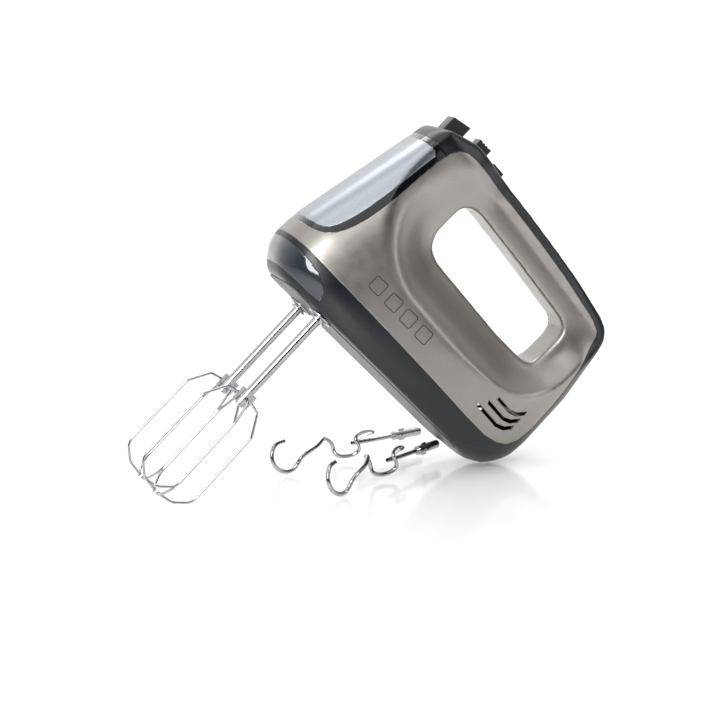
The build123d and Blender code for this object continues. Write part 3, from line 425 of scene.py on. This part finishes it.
top_cutter = prism("top_cutter", TOP_OUTLINE, -CUTTER_REACH, CUTTER_REACH)
hand_cutter = prism("hand_cutter", OPENING, -CUTTER_REACH, CUTTER_REACH)
modify(form, "BOOLEAN", operation="INTERSECT", object=top_cutter, solver="EXACT")
modify(form, "BOOLEAN", operation="DIFFERENCE", object=hand_cutter, solver="EXACT")
bake(form)
discard(top_cutter, hand_cutter)
modify(form, "REMESH", mode="VOXEL", voxel_size=1.25, adaptivity=0.0)
modify(form, "SMOOTH", factor=0.5, iterations=32)
modify(form, "DISPLACE", strength=-0.30, mid_level=0.0)
bake(form)
form.data.shade_smooth()
print("outer form", len(form.data.polygons), "faces")

# %% [markdown]
# ## From construction shells to soft shells
# A Boolean keeps what a construction shell and the soft form have in common.
# The edges where the new skin meets the old cut faces are the panel edges that a
# hand feels; each gets a small bevel, which also draws the fine bright line that
# a lacquered edge shows.
# %% Trim one shell to the form
WELD = 0.000004         # metres within which two points are one
SLIVER = 0.00025        # shortest length worth keeping along a panel edge
PANEL_EDGE_MM = 0.35
form.data.transform(upright)
form.data.materials.append(bpy.data.materials.new("skin_mark"))


def panel_rim(bm, mark):
    """The edges where the new skin, marked by its material, meets the old cut faces."""
    return [edge for edge in bm.edges if len(edge.link_faces) == 2
            and (edge.link_faces[0].material_index == mark) != (edge.link_faces[1].material_index == mark)]


def soft_shell(node):
    """The construction shell cut down to the soft form, with its panel edges eased."""
    bm = bmesh.new()
    bm.from_mesh(nodes[node].data)
    bmesh.ops.remove_doubles(bm, verts=bm.verts, dist=WELD)
    shell = settle(bm, "soft_" + node, None)
    shell.data.materials.append(finishes[slot_of[node]])
    modify(shell, "BOOLEAN", operation="INTERSECT", object=form, solver="EXACT", material_mode="TRANSFER")
    bake(shell)
    names = [material.name for material in shell.data.materials]
    mark = names.index("skin_mark") if "skin_mark" in names else -1
    bm = bmesh.new()
    bm.from_mesh(shell.data)
    skin = sum(face.material_index == mark for face in bm.faces)
    rim_verts = list({vert for edge in panel_rim(bm, mark) for vert in edge.verts})
    bmesh.ops.remove_doubles(bm, verts=rim_verts, dist=SLIVER)
    bmesh.ops.dissolve_degenerate(bm, dist=SLIVER * 0.08, edges=bm.edges)
    rim = panel_rim(bm, mark)
    bmesh.ops.bevel(bm, geom=rim, offset=PANEL_EDGE_MM / 1000, segments=2, affect="EDGES", profile=0.5,
                    material=-1, clamp_overlap=True)
    for face in bm.faces:
        face.material_index = 0
        face.smooth = True
    open_edges = sum(not edge.is_manifold for edge in bm.edges)
    bm.to_mesh(shell.data)
    bm.free()
    shell.data.materials.clear()
    shell.data.materials.append(finishes[slot_of[node]])
    shell.data.set_sharp_from_angle(angle=radians(32))
    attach(shell, "housing")
    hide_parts(node)
    print(shell.name, "faces", len(shell.data.polygons), "skin", skin, "rim", len(rim), "open", open_edges)
    return shell


print("panel edges are eased by", PANEL_EDGE_MM, "mm")

# %% [markdown]
# Eight shells make up what can be seen of the housing, and all of them are
# trimmed in the same way.  The outer form has then done its work.
# %% Trim all the visible shells
shells = {node: soft_shell(node) for node in (
    "left_shell", "right_shell", "base_shell", "spine_strip", "control_crown", "plate_bezel", "nose_cap",
    "front_plate")}
discard(form)

# %% [markdown]
# ## Buttons
# The eject button, the speed slider and the turbo button are moulded blocks.
# Their edges are rounded so a thumb slides over them, and their front faces are
# polished grey while the rest keeps a black spark-eroded grain.
# %% Ease the edges of a construction block
def eased_block(node, body, edge_mm, face_finish=None):
    """A copy of a plain moulded node with rounded edges, and its front face in its own finish."""
    bm = bmesh.new()
    bm.from_mesh(nodes[node].data)
    bmesh.ops.remove_doubles(bm, verts=bm.verts, dist=WELD)
    bmesh.ops.dissolve_limit(bm, angle_limit=radians(2), verts=bm.verts, edges=bm.edges)
    crisp = [edge for edge in bm.edges if len(edge.link_faces) == 2 and edge.calc_face_angle() > radians(30)]
    bmesh.ops.bevel(bm, geom=crisp, offset=edge_mm / 1000, segments=3, affect="EDGES", profile=0.5,
                    material=-1, clamp_overlap=True)
    for face in bm.faces:
        face.smooth = True
        face.material_index = int(face_finish is not None and face.normal.dot(-length_axis) > 0.9)
    made = settle(bm, "eased_" + node, finishes[slot_of[node]])
    if face_finish:
        made.data.materials.append(face_finish)
    made.data.set_sharp_from_angle(angle=radians(40))
    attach(made, body)
    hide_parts(node)
    print(made.name, "faces", len(made.data.polygons), "eased edges", len(crisp))
    return made


eased_block("eject_button", "eject_slide", 0.7, face_abs)
eased_block("speed_slider", "speed_slide", 0.5, face_abs)
eased_block("turbo_button", "turbo_slide", 0.5, face_abs)

# %% [markdown]
# ## Socket rings
# A bright pressed ring is let into the base round each beater socket.  A short
# profile is spun round the spindle's axis; it is the thin-walled shape that a
# lathe or a press would give.
# %% Spin a ring round each socket
RING_PROFILE = [(6.75, -0.15), (6.75, -0.75), (7.05, -1.05), (8.15, -1.05), (8.5, -0.7), (8.5, -0.15)]
for side, place in (("left", -22.5), ("right", 22.5)):
    bm = bmesh.new()
    corners = [bm.verts.new((r, 0, z)) for r, z in RING_PROFILE]
    loop = [bm.edges.new(pair) for pair in zip(corners, corners[1:] + corners[:1])]
    bmesh.ops.spin(bm, geom=corners + loop, axis=(0, 0, 1), cent=(0, 0, 0), angle=2 * pi, steps=72,
                   use_merge=True)
    bmesh.ops.remove_doubles(bm, verts=bm.verts, dist=0.001)
    bmesh.ops.translate(bm, verts=bm.verts, vec=(0, place, 0))
    bmesh.ops.transform(bm, matrix=upright, verts=bm.verts)
    bmesh.ops.recalc_face_normals(bm, faces=bm.faces)
    for face in bm.faces:
        face.smooth = True
    ring = settle(bm, side + "_socket_ring", steel)
    ring.data.set_sharp_from_angle(angle=radians(35))
    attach(ring, "housing")
print("socket rings", len(RING_PROFILE), "point profile")

# %% [markdown]
# ## Printed frames
# Four small rounded squares are pad printed on the left side, one for each
# feature the mixer offers.  They are left empty.  Each is a flat square frame
# with rounded corners, laid on the shell by casting it sideways, and given the
# thickness of a heavy coat of ink.
# %% Lay four frames on the left side
FRAME_PLACES = ((7.5, 36.1), (21.6, 35.4), (35.2, 34.9), (49.3, 34.4))
FRAME_SIZE = 9.5
LINE = 0.55
CORNER = 1.6
INK = 0.06              # thickness of the ink
skin_side = shells["left_shell"]
for number, (x, z) in enumerate(FRAME_PLACES, 1):
    bm = bmesh.new()
    square = bmesh.ops.create_grid(bm, x_segments=1, y_segments=1, size=FRAME_SIZE / 2)
    bmesh.ops.bevel(bm, geom=square["verts"], offset=CORNER, segments=5, affect="VERTICES", profile=0.5,
                    material=-1)
    inner = bmesh.ops.inset_region(bm, faces=list(bm.faces), thickness=LINE, use_boundary=True,
                                     use_even_offset=True)
    middle_faces = [face for face in bm.faces if face not in inner["faces"]]
    bmesh.ops.delete(bm, geom=middle_faces, context="FACES")
    long_edges = [edge for edge in bm.edges if edge.calc_length() > 2]
    bmesh.ops.subdivide_edges(bm, edges=long_edges, cuts=7, use_grid_fill=True)
    bmesh.ops.rotate(bm, cent=(0, 0, 0), matrix=Matrix.Rotation(pi / 2, 3, "X"), verts=bm.verts)
    bmesh.ops.translate(bm, verts=bm.verts, vec=(x, -60, z))
    bmesh.ops.transform(bm, matrix=upright, verts=bm.verts)
    mark = settle(bm, f"printed_frame_{number}", mark_ink)
    # the ink is cast straight across the body's width on to the shell
    modify(mark, "SHRINKWRAP", target=skin_side, wrap_method="PROJECT", use_project_x=False,
           use_project_y=True, use_project_z=False, use_positive_direction=True,
           use_negative_direction=False, offset=INK / 2000)
    modify(mark, "SOLIDIFY", thickness=INK / 1000, offset=1.0)
    bake(mark)
    bm = bmesh.new()
    bm.from_mesh(mark.data)
    bmesh.ops.recalc_face_normals(bm, faces=bm.faces)
    bm.to_mesh(mark.data)
    bm.free()
    mark.data.materials.clear()
    mark.data.materials.append(mark_ink)
    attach(mark, "housing")
    reach = [vert.co.y * 1000 for vert in mark.data.vertices]
    print(mark.name, "faces", len(mark.data.polygons),
          "y from", round(min(reach), 1), "to", round(max(reach), 1))

# %% [markdown]
# ## Studio
# A high-key set: a white acrylic light table that glows a little, a surround that
# is white behind the mixer and dark in front of it, three large soft lights and a
# broad ceiling light.  The dark front gives chrome and gloss something to
# reflect; the white back keeps the floor bright to the horizon.
# %% Floor and lights
bm = bmesh.new()
bmesh.ops.create_circle(bm, cap_ends=True, segments=64, radius=24)
floor_mesh = bpy.data.meshes.new("floor")
bm.to_mesh(floor_mesh)
bm.free()
floor = bpy.data.objects.new("floor", floor_mesh)
scene.collection.objects.link(floor)
floor_finish, tree, shader = blank("white_gloss_acrylic_light_table", {
    "Base Color": linear("#f2f2f2"), "Roughness": 0.10, "IOR": 1.55,
    "Emission Color": linear("#ffffff"), "Emission Strength": 0.16})
vary(tree, shader, "Roughness", speckle(tree, 60.0), 0.11, 0.15)
floor.data.materials.append(floor_finish)

scene.world = bpy.data.worlds.new("studio_surround")
scene.world.use_nodes = True
tree = scene.world.node_tree
shown = tree.nodes["Background"]
shown.inputs["Color"].default_value = linear("#ffffff")
where = add(tree, "ShaderNodeTexCoord")
split = add(tree, "ShaderNodeSeparateXYZ", links={"Vector": where.outputs["Generated"]})
behind = add(tree, "ShaderNodeMath", {"operation": "MULTIPLY_ADD"}, {1: 0.6},
             {0: split.outputs["Z"], 2: split.outputs["Y"]})
glow = add(tree, "ShaderNodeMapRange",
           values={"From Min": -0.25, "From Max": 0.8, "To Min": 0.03, "To Max": 1.1},
           links={"Value": behind.outputs["Value"]})
dim = add(tree, "ShaderNodeBackground", values={"Color": linear("#ffffff")},
          links={"Strength": glow.outputs["Result"]})
ray = add(tree, "ShaderNodeLightPath")
pick = add(tree, "ShaderNodeMixShader", links={0: ray.outputs["Is Camera Ray"], 1: dim.outputs["Background"],
                                               2: shown.outputs["Background"]})
tree.links.new(pick.outputs["Shader"], tree.nodes["World Output"].inputs["Surface"])


def softbox(name, azimuth, elevation, distance, width, height, power):
    """A large area light that faces the mixer."""
    light = bpy.data.lights.new(name, "AREA")
    light.shape = "RECTANGLE"
    light.size = width
    light.size_y = height
    light.energy = power
    made = bpy.data.objects.new(name, light)
    scene.collection.objects.link(made)
    made.matrix_world = aimed(CAMERA_TARGET, azimuth, elevation, 0, distance)
    return made


softbox("key_softbox", -30, 26, 1.5, 0.45, 0.7, 11)
softbox("side_softbox", 55, 22, 1.7, 0.35, 1.3, 4)
softbox("back_softbox", 165, 50, 1.6, 1.2, 0.6, 6)
sun = bpy.data.lights.new("broad_ceiling_light", "SUN")
sun.energy = 0.95
sun.angle = radians(70)
ceiling = bpy.data.objects.new("broad_ceiling_light", sun)
scene.collection.objects.link(ceiling)
ceiling.matrix_world = aimed(CAMERA_TARGET, -20, 62, 0, 2)
print("studio ready")
